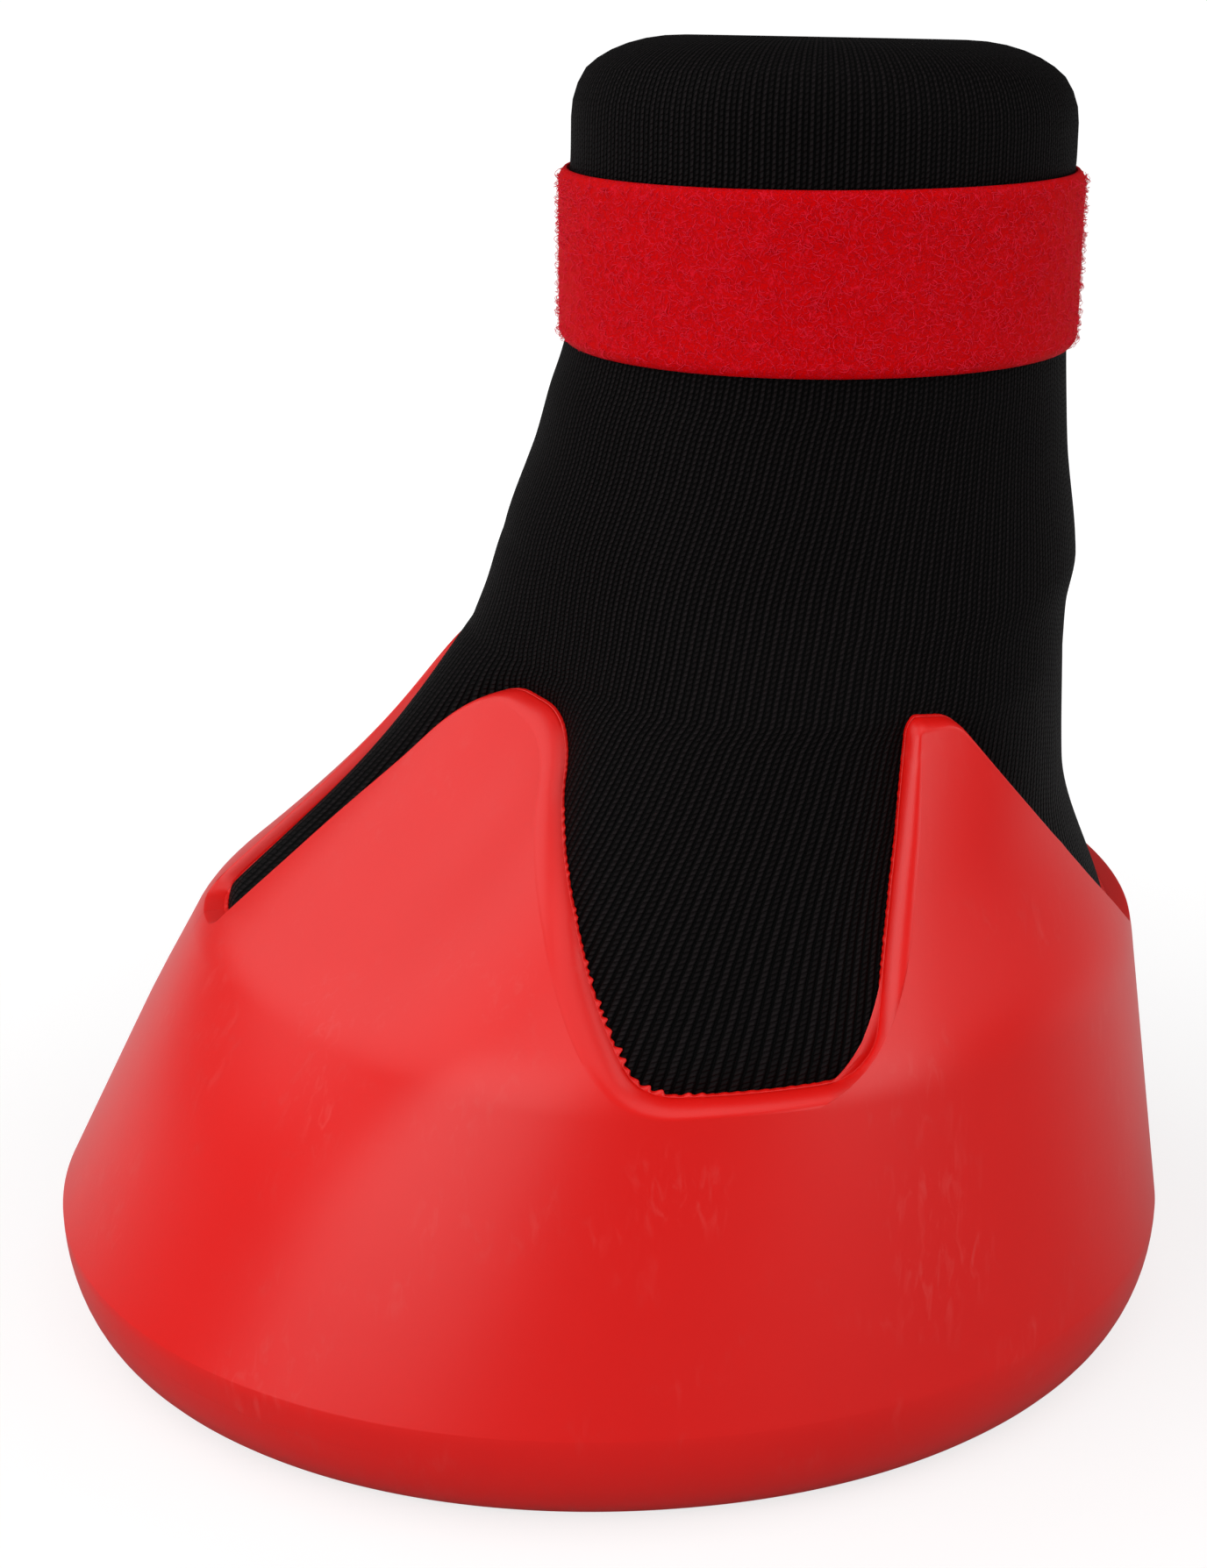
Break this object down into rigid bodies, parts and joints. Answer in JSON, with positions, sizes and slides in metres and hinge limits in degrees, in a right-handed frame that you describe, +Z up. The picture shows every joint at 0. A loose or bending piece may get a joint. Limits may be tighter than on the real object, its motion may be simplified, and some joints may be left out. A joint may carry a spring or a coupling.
{
  "type": "horse hoof boot",
  "caption": "Hoof boot for a horse: moulded rubber tub with petalled collar, knitted sock, cushioning insole and hook-and-loop wrap strap.",
  "frame": {"origin": "on the ground, under the middle of the tub's bounding box", "axes": "+Z up, toe towards -Y, heel towards +Y; the strap's free end lies on the -X side"},
  "size_m": [0.168, 0.1762, 0.192],
  "materials": {
    "tub_rubber": "moulded, satin gloss",
    "sock_knit": "matt rib knit",
    "insole_foam": "matt closed-cell foam",
    "loop_tape": "looped pile",
    "hook_tape": "woven, with hooks"
  },
  "bodies": {
    "boot": {"boot_shell": "tub_rubber", "sock": "sock_knit", "insole": "insole_foam", "strap": "loop_tape"},
    "strap_end": {"strap_tail": "loop_tape", "hook_patch": "hook_tape"}
  },
  "joints": [
    {"name": "strap_peel", "type": "hinge", "parent": "boot", "child": "strap_end", "pos_m": [-0.03406, 0.05371, 0.1641], "axis": [0, 0, -1], "range_deg": [0, 150]}
  ]
}
